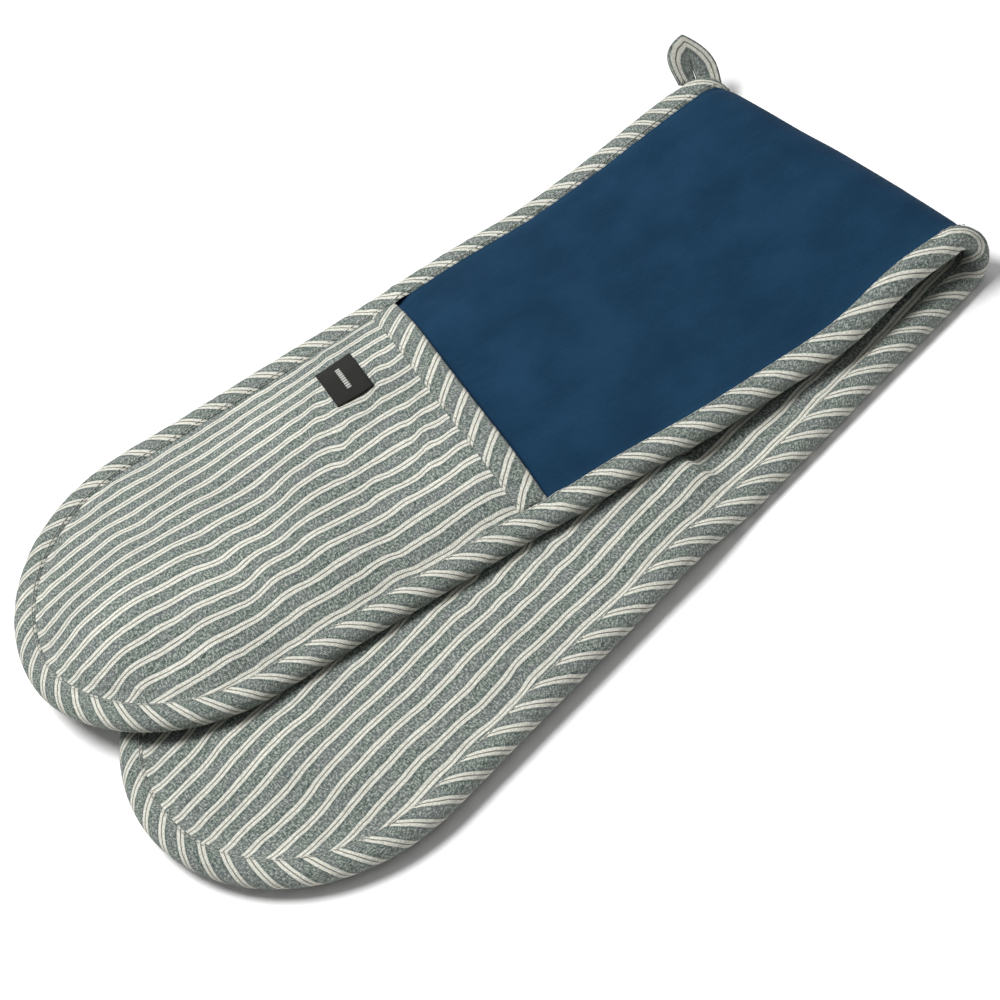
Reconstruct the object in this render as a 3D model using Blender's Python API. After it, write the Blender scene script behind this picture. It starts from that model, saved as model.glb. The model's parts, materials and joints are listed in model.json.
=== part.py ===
"""Double oven glove: one padded strip with a hand pocket at each end, lying folded in half on a table.

The strip is described in its own flat coordinates, in millimetres: u along the strip from its
middle, v across it (+v is the edge that carries the hanging loop) and n through it, from the
inner (back) cloth outward. One function bends that flat strip round the fold, so every layer,
binding and pocket piece is built flat and ends up parallel to its neighbours.
"""

import math

import bmesh
import bpy
from mathutils import Vector

MM = 0.001

# Strip
HALF_LENGTH = 445.0
WIDTH = 180.0
STACK = 9.0
CLOTH = 1.0
GAP = 0.3
SEAM_MARGIN = 10.0
FULL_LOFT_AT = 46.0
EDGE_PINCH = 1.25

# Fold
FOLD_INNER_RADIUS = 6.0
FOLD_SKEW = math.radians(8.0)
FOLD_PARTS = 4
AXIS_CLEARANCE = 0.8

# Pockets
POCKET_DEPTH = 233.0
POCKET_CLOTH = 0.7
POCKET_HOLLOW = 2.4
POCKET_WADDING = 1.7
POCKET_EDGE_WADDING = 0.8
MOUTH_WADDING = 0.5
POCKET_EDGE_HEIGHT = 4.65
MOUTH_BINDING = 0.9
MOUTH_BINDING_DEPTH = 12.0

# Edge binding
BINDING = 1.2
BINDING_LEG = 12.0

# How the two limbs lie
FLOOR_CLEARANCE = 0.5
LIFT_RUN = 30.0
UPPER_SETTLE = 5.55
UPPER_SAG = 3.2

# Hanging loop: two flat strands of tape that meet in a point
LOOP_AT = 34.0
LOOP_WIDTH = 21.0
LOOP_REACH = 25.0
LOOP_EYE_WIDTH = 8.4
LOOP_EYE_REACH = 15.5
LOOP_THICKNESS = 1.6
LOOP_CLEARANCE = 2.2
LOOP_FORWARD = 6.6
LOOP_DROP = 5.4
LOOP_PITCH = math.radians(35.0)
LOOP_TILT = math.radians(35.0)
LOOP_STEPS = 16

# Woven label
LABEL_CENTRE = (255.0, 41.0)
LABEL_SIZE = (20.0, 30.0)
LABEL_THICKNESS = 0.6

# Worked out from the above
RADIUS = WIDTH / 2
TIP_CENTRE = HALF_LENGTH - RADIUS
MOUTH = HALF_LENGTH - POCKET_DEPTH
NEUTRAL = FOLD_INNER_RADIUS + STACK / 2
ARC = math.pi / 2 * NEUTRAL
POCKET_FRONT = 2 * POCKET_CLOTH + 2 * GAP + POCKET_WADDING
POCKET_RISE = POCKET_HOLLOW + POCKET_FRONT
FOLD_CENTRE_Z = FLOOR_CLEARANCE + STACK + FOLD_INNER_RADIUS
POCKET_LIFT = POCKET_RISE - FLOOR_CLEARANCE
SKEW_COS = math.cos(FOLD_SKEW)
SKEW_SIN = math.sin(FOLD_SKEW)
AXIS_RADIUS = FOLD_INNER_RADIUS + STACK + AXIS_CLEARANCE
PART_ANGLE = math.pi / FOLD_PARTS
HINGE_ANGLES = [-math.pi / 2 + PART_ANGLE * (k + 0.5) for k in range(FOLD_PARTS)]

STACK_RINGS = (GAP, SEAM_MARGIN, FULL_LOFT_AT)
POCKET_RINGS = (GAP, SEAM_MARGIN, SEAM_MARGIN + 4.0, FULL_LOFT_AT)
TIP_STEPS = 12

COLOURS = {
    "stripe": ((0.30, 0.34, 0.35), 0.9),
    "navy": ((0.012, 0.052, 0.127), 0.85),
    "wadding": ((0.75, 0.74, 0.70), 1.0),
    "lining": ((0.55, 0.55, 0.52), 0.9),
    "binding": ((0.36, 0.39, 0.38), 0.9),
    "label": ((0.02, 0.02, 0.022), 0.7),
}


def smooth(x):
    x = min(1.0, max(0.0, x))
    return x * x * (3 - 2 * x)


def ramp(x, x0, y0, x1, y1):
    """Straight from (x0, y0) to (x1, y1), and level beyond both."""
    k = min(1.0, max(0.0, (x - x0) / (x1 - x0)))
    return y0 + (y1 - y0) * k


# ---- how thick each layer is, d from the strip's edge and u along it ----


def back_of(d):
    return ramp(d, SEAM_MARGIN, EDGE_PINCH, FULL_LOFT_AT, 0.0)


def front_of(d, u):
    """Outer face of the plain front panel: it dips under the sewn edge of a pocket."""
    bare = STACK - back_of(d)
    sewn = ramp(d, SEAM_MARGIN, POCKET_EDGE_HEIGHT, FULL_LOFT_AT, STACK)
    k = ramp(u, MOUTH - 10.0, 0.0, MOUTH, 1.0)
    return bare + (sewn - bare) * k


def lining_of(d, u):
    """Inner face of the pocket's front, across the hand space."""
    start = SEAM_MARGIN + 4.0
    if d <= start:
        return front_of(d, u) + ramp(d, SEAM_MARGIN, GAP, start, 1.6)
    return front_of(d, u) + ramp(d, start, 1.6, FULL_LOFT_AT, POCKET_HOLLOW)


def pocket_wadding_of(d, u):
    full = ramp(d, SEAM_MARGIN, POCKET_EDGE_WADDING, FULL_LOFT_AT, POCKET_WADDING)
    mouth = ramp(d, SEAM_MARGIN, POCKET_EDGE_WADDING, SEAM_MARGIN + 4.0, MOUTH_WADDING)
    k = ramp(u, MOUTH + MOUTH_BINDING_DEPTH, 0.0, MOUTH + 30.0, 1.0)
    return mouth + (full - mouth) * k


def pocket_top_of(d, u):
    return lining_of(d, u) + 2 * POCKET_CLOTH + 2 * GAP + pocket_wadding_of(d, u)


def top_of(d, u):
    """Outermost cloth under the edge binding."""
    if u >= MOUTH:
        return pocket_top_of(d, u)
    k = ramp(u, MOUTH - 10.0, 0.0, MOUTH, 1.0)
    bare = STACK - back_of(d)
    return bare + (pocket_top_of(d, MOUTH) - bare) * k


# ---- how the flat strip lies in space ----


def height(side, u):
    """What a limb rises or sinks by, as it lies.

    The lower one climbs onto its own pocket. The upper one sinks from the fold, furthest before
    the lower pocket's mouth, and then lies on that pocket.
    """
    if side < 0:
        return POCKET_LIFT * smooth((u - MOUTH + LIFT_RUN) / LIFT_RUN)
    before_pocket = smooth((u - 30.0) / 60.0) * (1 - smooth((u - 125.0) / 60.0))
    return -UPPER_SETTLE * smooth((u - 30.0) / 100.0) - UPPER_SAG * before_pocket


def strip_point(side, u, v, n):
    """The flat strip's point, folded. side is 1 on the upper limb and the fold, -1 on the lower."""
    s = side * u * SKEW_COS - v * SKEW_SIN
    t = side * u * SKEW_SIN + v * SKEW_COS
    r = NEUTRAL + n - STACK / 2
    if abs(s) <= ARC:
        a = s / NEUTRAL
        return Vector((r * math.cos(a), t, FOLD_CENTRE_Z + r * math.sin(a))) * MM
    side = math.copysign(1.0, s)
    z = FOLD_CENTRE_Z + side * r + height(side, abs(u))
    return Vector((ARC - abs(s), t, z)) * MM


class AcrossLine:
    """A line across the strip: straight across at u, or parallel to the fold at s."""

    def __init__(self, side, u=None, s=None):
        self.side = side
        self.u = u
        self.s = s

    def u_at(self, v):
        if self.u is not None:
            return self.u
        return (self.s + self.side * v * SKEW_SIN) / SKEW_COS


def limb_lines(side, start=None):
    """Lines across one limb, from its cut at the fold, or from a given u, to the tip."""
    last_cut = abs(HINGE_ANGLES[0]) * NEUTRAL + GAP / 2
    lines = []
    if start is None:
        lines = [AcrossLine(side, s=last_cut + (ARC - last_cut) * k / 2) for k in range(3)]
        start = 42.0
    steps = [60.0, 78.0, 100.0, 125.0, 145.0, 165.0]
    steps += [MOUTH + k for k in (-30.0, -20.0, -10.0, 0.0, MOUTH_BINDING_DEPTH, 30.0, 75.0)]
    steps += [TIP_CENTRE]
    lines += [AcrossLine(side, u=start)]
    lines += [AcrossLine(side, u=k) for k in steps if k > start + 1.0]
    return lines


def fold_lines(k):
    """Lines across fold slice k, between two neighbouring hinges."""
    a0 = HINGE_ANGLES[k] * NEUTRAL + GAP / 2
    a1 = HINGE_ANGLES[k + 1] * NEUTRAL - GAP / 2
    return [AcrossLine(1, s=a0 + (a1 - a0) * i / 3) for i in range(4)]


def sheet_layout(lines, rings, tip):
    """Points (u, v, d) and faces of one cloth layer."""
    across = [RADIUS - d for d in rings] + [0.0] + [d - RADIUS for d in reversed(rings)]
    points = [(line.u_at(v), v, RADIUS - abs(v)) for line in lines for v in across]
    m = len(across)
    faces = []
    for k in range(len(lines) - 1):
        for j in range(m - 1):
            a = k * m + j
            faces.append((a, a + 1, a + m + 1))
            faces.append((a, a + m + 1, a + m))
    if not tip:
        return points, faces
    last = (len(lines) - 1) * m
    count = len(rings)
    centre = last + count
    rows = [[last + i for i in range(count)]]
    for step in range(1, TIP_STEPS):
        b = math.pi * step / TIP_STEPS
        row = []
        for d in rings:
            row.append(len(points))
            rho = RADIUS - d
            points.append((TIP_CENTRE + rho * math.sin(b), rho * math.cos(b), d))
        rows.append(row)
    rows.append([last + m - 1 - i for i in range(count)])
    for one, two in zip(rows, rows[1:]):
        for i in range(count - 1):
            faces.append((one[i], one[i + 1], two[i + 1]))
            faces.append((one[i], two[i + 1], two[i]))
        faces.append((one[-1], centre, two[-1]))
    return points, faces


def solid(points, faces):
    """A closed mesh with all of its faces turned outward."""
    bm = bmesh.new()
    verts = [bm.verts.new(p) for p in points]
    for face in faces:
        bm.faces.new([verts[i] for i in face])
    bmesh.ops.recalc_face_normals(bm, faces=bm.faces)
    if bm.calc_volume(signed=True) < 0:
        bmesh.ops.reverse_faces(bm, faces=bm.faces)
    return bm


def layer(side, lines, rings, tip, low, high):
    """A layer of cloth or wadding between the heights low(d, u) and high(d, u)."""
    flat, faces = sheet_layout(lines, rings, tip)
    count = len(flat)
    points = [strip_point(side, u, v, low(d, abs(u))) for u, v, d in flat]
    points += [strip_point(side, u, v, high(d, abs(u))) for u, v, d in flat]
    edges = {}
    for face in faces:
        for a, b in zip(face, face[1:] + face[:1]):
            edges[(a, b)] = True
    walls = [(b, a, a + count, b + count) for a, b in edges if (b, a) not in edges]
    other = [tuple(i + count for i in reversed(face)) for face in faces]
    return solid(points, faces + walls + other)


def binding_section(u):
    """The folded binding, as (distance in from the edge, height), round its C shape."""
    front = {d: top_of(d, u) for d in (0.0, SEAM_MARGIN, BINDING_LEG)}
    back = {d: back_of(d) for d in (0.0, SEAM_MARGIN, BINDING_LEG)}
    out = GAP + BINDING
    return [
        (BINDING_LEG, front[BINDING_LEG] + out),
        (SEAM_MARGIN, front[SEAM_MARGIN] + out),
        (0.5, front[0.0] + out),
        (-1.1, front[0.0] + 0.7),
        (-1.5, front[0.0] - 1.0),
        (-1.5, back[0.0] + 1.0),
        (-1.1, back[0.0] - 0.7),
        (0.5, back[0.0] - out),
        (SEAM_MARGIN, back[SEAM_MARGIN] - out),
        (BINDING_LEG, back[BINDING_LEG] - out),
        (BINDING_LEG, back[BINDING_LEG] - GAP),
        (SEAM_MARGIN, back[SEAM_MARGIN] - GAP),
        (0.0, back[0.0] - GAP),
        (0.0, front[0.0] + GAP),
        (SEAM_MARGIN, front[SEAM_MARGIN] + GAP),
        (BINDING_LEG, front[BINDING_LEG] + GAP),
    ]


def swept(sections):
    """A closed body through a row of sections with equally many points."""
    m = len(sections[0])
    points = [p for section in sections for p in section]
    faces = []
    for k in range(len(sections) - 1):
        for j in range(m):
            a = k * m + j
            b = k * m + (j + 1) % m
            faces.append((a, b, b + m, a + m))
    faces.append(tuple(range(m)))
    faces.append(tuple(range(len(points) - 1, len(points) - m - 1, -1)))
    return solid(points, faces)


def edge_sections(side, lines, edge):
    """Binding sections along one long edge; edge is 1 at +v and -1 at -v."""
    sections = []
    for line in lines:
        section = []
        for d, n in binding_section(abs(line.u_at(edge * RADIUS))):
            v = edge * (RADIUS - d)
            section.append(strip_point(side, line.u_at(v), v, n))
        sections.append(section)
    return sections


def limb_binding(side, lines):
    """The binding from the fold round the tip and back to the fold."""
    sections = edge_sections(side, lines, 1)
    for step in range(1, TIP_STEPS):
        b = math.pi * step / TIP_STEPS
        section = []
        for d, n in binding_section(HALF_LENGTH):
            rho = RADIUS - d
            u = TIP_CENTRE + rho * math.sin(b)
            section.append(strip_point(side, u, rho * math.cos(b), n))
        sections.append(section)
    sections += reversed(edge_sections(side, lines, -1))
    return swept(sections)


def mouth_binding(side):
    """The binding folded over the free edge of a pocket's front, between the edge bindings."""
    outer = BINDING_LEG + 0.6
    places = [RADIUS - outer, RADIUS - SEAM_MARGIN - 4.0, RADIUS - FULL_LOFT_AT]
    stops = [RADIUS - v for v in places]
    across = list(zip(places, stops)) + [(0.0, RADIUS)]
    across += [(-v, d) for v, d in reversed(across[:-1])]
    sections = []
    for v, d in across:
        low = lining_of(d, MOUTH)
        high = pocket_top_of(d, MOUTH)
        thick = min(MOUTH_BINDING, low - front_of(d, MOUTH) - 2 * GAP)
        end = MOUTH + MOUTH_BINDING_DEPTH
        profile = [
            (end, high + GAP),
            (end, high + GAP + MOUTH_BINDING),
            (MOUTH - 0.3, high + GAP + MOUTH_BINDING),
            (MOUTH - 0.9, high),
            (MOUTH - 0.9, low),
            (MOUTH - 0.3, low - GAP - thick),
            (end, low - GAP - thick),
            (end, low - GAP),
            (MOUTH, low - GAP),
            (MOUTH, high + GAP),
        ]
        sections.append([strip_point(side, u, v, n) for u, n in profile])
    return swept(sections)


def woven_label():
    """A small flat label on the upper pocket's cloth, its long side across the strip."""
    u0 = LABEL_CENTRE[0] - LABEL_SIZE[0] / 2
    u1 = LABEL_CENTRE[0] + LABEL_SIZE[0] / 2
    v0 = LABEL_CENTRE[1] - LABEL_SIZE[1] / 2
    v1 = LABEL_CENTRE[1] + LABEL_SIZE[1] / 2
    sections = []
    for v in (v0, RADIUS - FULL_LOFT_AT, v1):
        n = pocket_top_of(RADIUS - v, u1) + GAP
        ring = [(u0, n), (u1, n), (u1, n + LABEL_THICKNESS), (u0, n + LABEL_THICKNESS)]
        sections.append([strip_point(1, u, v, h) for u, h in ring])
    return swept(sections)


def loop_frame():
    """Middle of the loop's base, which follows the edge down round the fold, and its three directions."""
    v = RADIUS + 1.5 + LOOP_CLEARANCE
    base = strip_point(1, LOOP_AT, v, STACK / 2)
    along = strip_point(1, LOOP_AT + 10, v, STACK / 2) - base
    along.z = 0.0
    along.normalize()
    flat = Vector((-along.y, along.x, 0.0))
    if flat.y < 0:
        flat.negate()
    up = Vector((0.0, 0.0, 1.0))
    base = base - (along * LOOP_FORWARD + up * LOOP_DROP) * MM
    along = along * math.cos(LOOP_PITCH) + up * math.sin(LOOP_PITCH)
    outward = flat * math.cos(LOOP_TILT) + up * math.sin(LOOP_TILT)
    outward = (outward - along * outward.dot(along)).normalized()
    return base, along, outward, outward.cross(along)


def arch(w, width, reach):
    """A point of a pointed arch, w from 0 at one foot to 1 at the other."""
    a = math.pi * (w - 0.5)
    x = math.copysign(abs(math.sin(a)) ** 0.8, a) * width / 2
    return x, reach * max(0.0, math.cos(a)) ** 0.8


def hanging_loop():
    """Flat tape between an outer and an inner pointed arch, its feet beside the edge binding."""
    base, along, outward, normal = loop_frame()
    sections = []
    for k in range(LOOP_STEPS + 1):
        w = k / LOOP_STEPS
        ring = []
        for width, reach, face in (
            (LOOP_WIDTH, LOOP_REACH, -1),
            (LOOP_WIDTH, LOOP_REACH, 1),
            (LOOP_EYE_WIDTH, LOOP_EYE_REACH, 1),
            (LOOP_EYE_WIDTH, LOOP_EYE_REACH, -1),
        ):
            x, y = arch(w, width, reach)
            side = normal * face * LOOP_THICKNESS / 2
            ring.append(base + (along * x + outward * y + side) * MM)
        sections.append(ring)
    return swept(sections)


# ---- the object ----


def clear_scene():
    for obj in list(bpy.data.objects):
        bpy.data.objects.remove(obj, do_unlink=True)


def material(name, key):
    colour, roughness = COLOURS[key]
    made = bpy.data.materials.new(name + "_cloth")
    made.use_nodes = True
    shader = made.node_tree.nodes["Principled BSDF"]
    shader.inputs["Base Color"].default_value = (*colour, 1.0)
    shader.inputs["Roughness"].default_value = roughness
    shader.inputs["Metallic"].default_value = 0.0
    made.diffuse_color = (*colour, 1.0)
    return made


def body(name, place, parent=None):
    """An empty that carries one moving body, standing on that body's hinge axis."""
    empty = bpy.data.objects.new(name, None)
    empty.empty_display_size = 0.02
    bpy.context.scene.collection.objects.link(empty)
    empty["place"] = [place.x, place.y, place.z]
    if parent is None:
        empty.location = place
    else:
        empty.parent = parent
        empty.location = place - Vector(parent["place"])
    return empty


def piece(name, bm, key, carrier):
    origin = Vector(carrier["place"])
    bmesh.ops.translate(bm, verts=bm.verts, vec=-origin)
    mesh = bpy.data.meshes.new(name)
    bm.to_mesh(mesh)
    bm.free()
    mesh.materials.append(material(name, key))
    obj = bpy.data.objects.new(name, mesh)
    bpy.context.scene.collection.objects.link(obj)
    obj.parent = carrier
    return obj


def wadding_low(d, u):
    return back_of(d) + CLOTH + GAP


def wadding_high(d, u):
    return front_of(d, u) - CLOTH - GAP


def stack_layers():
    """name, colour, lower face and upper face of the three layers of the strip."""
    return [
        ("back_cloth", "stripe", lambda d, u: back_of(d), lambda d, u: back_of(d) + CLOTH),
        ("wadding", "wadding", wadding_low, wadding_high),
        ("front_panel", "navy", lambda d, u: front_of(d, u) - CLOTH, front_of),
    ]


def pocket_layers():
    def lining_top(d, u):
        return lining_of(d, u) + POCKET_CLOTH

    def cloth_low(d, u):
        return pocket_top_of(d, u) - POCKET_CLOTH

    return [
        ("pocket_lining", "lining", lining_of, lining_top),
        ("pocket_wadding", "wadding", lambda d, u: lining_top(d, u) + GAP,
         lambda d, u: cloth_low(d, u) - GAP),
        ("pocket_cloth", "stripe", cloth_low, pocket_top_of),
    ]


def build_limb(name, side, carrier):
    lines = limb_lines(side)
    for label, key, low, high in stack_layers():
        bm = layer(side, lines, STACK_RINGS, True, low, high)
        piece(name + "_" + label, bm, key, carrier)
    piece(name + "_edge_binding", limb_binding(side, lines), "binding", carrier)
    inside = limb_lines(side, start=MOUTH + GAP)
    for label, key, low, high in pocket_layers():
        bm = layer(side, inside, POCKET_RINGS, True, low, high)
        piece(name + "_" + label, bm, key, carrier)
    piece(name + "_mouth_binding", mouth_binding(side), "binding", carrier)


def build_fold_slice(name, k, carrier):
    lines = fold_lines(k)
    for label, key, low, high in stack_layers():
        bm = layer(1, lines, STACK_RINGS, False, low, high)
        piece(name + "_" + label, bm, key, carrier)
    for label, edge in (("far", 1), ("near", -1)):
        bm = swept(edge_sections(1, lines, edge))
        piece(name + "_binding_" + label, bm, "binding", carrier)


def hinge_place(k):
    a = HINGE_ANGLES[k]
    x = AXIS_RADIUS * math.cos(a)
    z = FOLD_CENTRE_Z + AXIS_RADIUS * math.sin(a)
    return Vector((x, 0.0, z)) * MM


def stand_on_origin(root):
    """Moves the whole glove so that the middle of its box's underside is the origin."""
    bpy.context.view_layer.update()
    corners = []
    for obj in bpy.context.scene.objects:
        if obj.type == "MESH":
            corners += [obj.matrix_world @ vert.co for vert in obj.data.vertices]
    xs = [p.x for p in corners]
    ys = [p.y for p in corners]
    root.location.x -= (min(xs) + max(xs)) / 2
    root.location.y -= (min(ys) + max(ys)) / 2
    root.location.z -= min(p.z for p in corners)


def main():
    clear_scene()
    root = body("lower_half", Vector((0.0, 0.0, 0.0)))
    build_limb("lower", -1, root)
    carrier = root
    for k in range(FOLD_PARTS - 1):
        carrier = body("fold_slice_%d" % (k + 1), hinge_place(k), carrier)
        build_fold_slice("fold_slice_%d" % (k + 1), k, carrier)
    upper = body("upper_half", hinge_place(FOLD_PARTS - 1), carrier)
    build_limb("upper", 1, upper)
    piece("upper_label", woven_label(), "label", upper)
    loop = body("hanging_loop_body", loop_frame()[0], upper)
    piece("hanging_loop", hanging_loop(), "binding", loop)
    stand_on_origin(root)


main()
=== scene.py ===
"""A folded double oven glove: cloth, bindings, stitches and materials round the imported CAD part."""

import json
import math

import bmesh
import bpy
import numpy as np
from mathutils import Matrix, Vector


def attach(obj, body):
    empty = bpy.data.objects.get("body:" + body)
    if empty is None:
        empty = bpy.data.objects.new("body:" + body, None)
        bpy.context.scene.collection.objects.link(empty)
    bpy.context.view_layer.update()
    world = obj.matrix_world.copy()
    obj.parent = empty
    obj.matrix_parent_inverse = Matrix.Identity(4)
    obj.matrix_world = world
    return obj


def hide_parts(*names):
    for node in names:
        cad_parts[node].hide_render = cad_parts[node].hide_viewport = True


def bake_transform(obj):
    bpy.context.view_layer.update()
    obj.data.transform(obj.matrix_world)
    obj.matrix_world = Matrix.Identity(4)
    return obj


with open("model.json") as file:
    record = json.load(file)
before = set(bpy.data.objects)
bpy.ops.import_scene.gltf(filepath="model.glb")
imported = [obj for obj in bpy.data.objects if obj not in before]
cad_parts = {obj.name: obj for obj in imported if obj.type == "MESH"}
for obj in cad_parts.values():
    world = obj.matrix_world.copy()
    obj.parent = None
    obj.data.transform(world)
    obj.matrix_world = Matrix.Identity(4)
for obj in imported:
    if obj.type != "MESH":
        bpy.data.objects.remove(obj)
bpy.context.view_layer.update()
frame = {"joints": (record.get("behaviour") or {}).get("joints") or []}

# ---- sizes in millimetres, as in the CAD part ----

MM = 0.001
RADIUS = 90.0
TIP_CENTRE = 355.0
MOUTH = 212.0
STACK = 9.0
CLOTH = 1.0
GAP = 0.3
SEAM_MARGIN = 10.0
FULL_LOFT_AT = 46.0
EDGE_PINCH = 1.25
NEUTRAL = 10.5
ARC = math.pi / 2 * NEUTRAL
AXIS_RADIUS = 15.8
HINGES = [math.radians(a) for a in (-67.5, -22.5, 22.5, 67.5)]
SKEW = math.radians(8.0)
SKEW_COS, SKEW_SIN, SKEW_TAN = math.cos(SKEW), math.sin(SKEW), math.tan(SKEW)
POCKET_CLOTH = 0.7
POCKET_HOLLOW = 2.4
POCKET_WADDING = 1.7
POCKET_EDGE_WADDING = 0.8
MOUTH_WADDING = 0.6
POCKET_EDGE_HEIGHT = 4.65
POCKET_LIFT = 5.6
LIFT_RUN = 30.0
UPPER_SETTLE = 6.0
UPPER_SAG = 3.4
OVERHANG_DROOP = 7.5
OVERHANG_RUN = 62.0
EDGE_DROOP = 1.6
FOLD_TURN = -0.06
FOLD_SLIDE = 5.0
TIP_RISE = 3.2
EDGE_BOW = 4.6
SEAM_DIP = 0.5
SEAM_Q = math.pi / 4 * NEUTRAL / SKEW_COS
STITCH_PITCH = 3.2
PERIMETER = 4 * TIP_CENTRE + 2 * math.pi * RADIUS
STRIPE = PERIMETER / 140 / math.sqrt(2)

fold_4 = next(j for j in frame["joints"] if j["name"] == "fold_4")
ORIGIN_X = fold_4["pos_m"][0] / MM - AXIS_RADIUS * math.cos(HINGES[3])
FOLD_CENTRE_Z = fold_4["pos_m"][2] / MM - AXIS_RADIUS * math.sin(HINGES[3])

# ---- shape functions on the flat strip: u along it, signed by limb, v across it ----


def smooth(x):
    x = np.clip(x, 0.0, 1.0)
    return x * x * (3 - 2 * x)


def pillow(d, start, end):
    """From 0 to 1 as a stuffed edge rises: quickly at the seam, then levelling."""
    x = np.clip((d - start) / (end - start), 0.0, 1.0)
    return 0.6 * np.sin(x * math.pi / 2) + 0.4 * x


def lattice(i, j, seed):
    n = (i.astype(np.int64) * 374761393 + j.astype(np.int64) * 668265263 + seed * 144269504) & 0xFFFFFFFF
    n = ((n ^ (n >> 13)) * 1274126177) & 0xFFFFFFFF
    return ((n ^ (n >> 16)) & 0xFFFF) / 32767.5 - 1.0


def noise(x, y, seed):
    """Smooth repeatable noise between -1 and 1."""
    x, y = np.broadcast_arrays(np.asarray(x, float), np.asarray(y, float))
    i, j = np.floor(x), np.floor(y)
    fx, fy = x - i, y - j
    fx = fx * fx * fx * (fx * (fx * 6 - 15) + 10)
    fy = fy * fy * fy * (fy * (fy * 6 - 15) + 10)
    near = lattice(i, j, seed) * (1 - fx) + lattice(i + 1, j, seed) * fx
    far = lattice(i, j + 1, seed) * (1 - fx) + lattice(i + 1, j + 1, seed) * fx
    return near * (1 - fy) + far * fy


def stop_at_edge(u, v):
    """Distance in from the strip's outline."""
    beyond = np.maximum(np.abs(u) - TIP_CENTRE, 0.0)
    return RADIUS - np.hypot(beyond, v)


def along_edge(u, v):
    """Length along the nearer edge, running on round the tips."""
    beyond = np.maximum(np.abs(u) - TIP_CENTRE, 0.0)
    turn = np.arctan2(beyond, np.abs(v) + 1e-6)
    return np.sign(u) * (np.minimum(np.abs(u), TIP_CENTRE) + RADIUS * turn)


def loft(d):
    """Share of the full padding at distance d in from the edge."""
    return pillow(d, SEAM_MARGIN, FULL_LOFT_AT)


def off_seam(u, v):
    """0 in the edge's seam, where the cloth can't wave, and 1 clear of it."""
    return smooth((stop_at_edge(u, v) - 9.0) / 8.0)


def under_pocket(u):
    """0 on the bare strip and 1 where a pocket lies on it."""
    return smooth((np.abs(u) - MOUTH + 10.0) / 10.0)


def seam_dip(d):
    """The groove that the topstitching pulls in along the binding."""
    return SEAM_DIP * np.exp(-(((d - 13.4) / 2.2) ** 2))


def waves(u, v, seed, pucker, cross, broad):
    """Small folds of a sewn panel: puckers off the seams, ripples across, and slow swells."""
    p = along_edge(u, v)
    side = np.sign(v) * 3.7
    by_seam = np.exp(-np.maximum(stop_at_edge(u, v) - 12.0, 0.0) / 12.0)
    z = pucker * by_seam * (noise(p / 7.5, side, seed) + 0.6 * noise(p / 4.3, side, seed + 1))
    z = z + cross * (noise((u + 0.35 * v) / 23.0, (v - 0.35 * u) / 58.0, seed + 2)
                     + 0.6 * noise((u - 0.55 * v) / 15.0, (v + 0.55 * u) / 40.0, seed + 3))
    z = z + broad * noise(u / 74.0, v / 66.0, seed + 4)
    return z * off_seam(u, v)


def near_middle(v):
    """Where the step over the pocket below shows: it fades towards both edges."""
    return smooth((v + 80.0) / 20.0) * (1 - smooth((v - 5.0) / 55.0))


def back_wave(u, v):
    """Always towards the wadding, so that the two limbs stay clear of each other."""
    z = np.tanh(waves(u, v, 11, 0.6, 0.75, 0.35) / 0.9) * 0.9
    dip = np.where(u < 0, 1.3 * np.exp(-(((u + 158.0) / 8.5) ** 2)) * near_middle(v), 0.0)
    return 0.9 * off_seam(u, v) + z + dip


def off_floor(u, v, z, drop):
    """Shallower waves on the lower limb's underside, all of them inwards."""
    return np.where(u < 0, drop * (np.tanh(z) - 1.0) * off_seam(u, v), z)


def front_wave(u, v):
    bare = 1 - smooth((np.abs(u) - MOUTH + 12.0) / 10.0)
    return off_floor(u, v, waves(u, v, 23, 0.45, 0.3, 0.6), 0.3) * bare


def pocket_wave(u, v):
    seed = 37 if np.mean(u) > 0 else 53
    edge = smooth((np.abs(u) - MOUTH - 10.0) / 10.0)
    return off_floor(u, v, waves(u, v, seed, 0.8, 1.0 * edge + 0.08, 0.7 * edge), 0.5)


def back_of(u, v):
    d = stop_at_edge(u, v)
    return EDGE_PINCH * (1 - loft(d)) + seam_dip(d) + back_wave(u, v)


def bare_front(d):
    return STACK - EDGE_PINCH * (1 - loft(d)) - seam_dip(d)


def front_still(u, v):
    d = stop_at_edge(u, v)
    bare = bare_front(d)
    sewn = POCKET_EDGE_HEIGHT + (STACK - POCKET_EDGE_HEIGHT) * loft(d)
    return bare + (sewn - bare) * under_pocket(u)


def front_of(u, v):
    return front_still(u, v) + front_wave(u, v)


def pocket_padding(u, v):
    full = POCKET_EDGE_WADDING + (POCKET_WADDING - POCKET_EDGE_WADDING) * loft(stop_at_edge(u, v))
    return MOUTH_WADDING + (full - MOUTH_WADDING) * smooth((np.abs(u) - MOUTH - 6.0) / 24.0)


def lining_still(u, v):
    d = stop_at_edge(u, v)
    hollow = GAP + (POCKET_HOLLOW - GAP) * loft(d)
    return front_still(u, v) + hollow - seam_dip(d)


def pocket_still(u, v):
    return lining_still(u, v) + 2 * POCKET_CLOTH + 2 * GAP + pocket_padding(u, v)


def lining_of(u, v):
    return lining_still(u, v) + pocket_wave(u, v)


def pocket_of(u, v):
    return pocket_still(u, v) + pocket_wave(u, v)


def outer_still(u, v):
    """Outermost cloth beside the edge binding, without its waves."""
    bare = bare_front(stop_at_edge(u, v))
    return bare + (pocket_still(u, v) - bare) * under_pocket(u)


# ---- how the strip lies: folded, with one limb on the other ----


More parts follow.
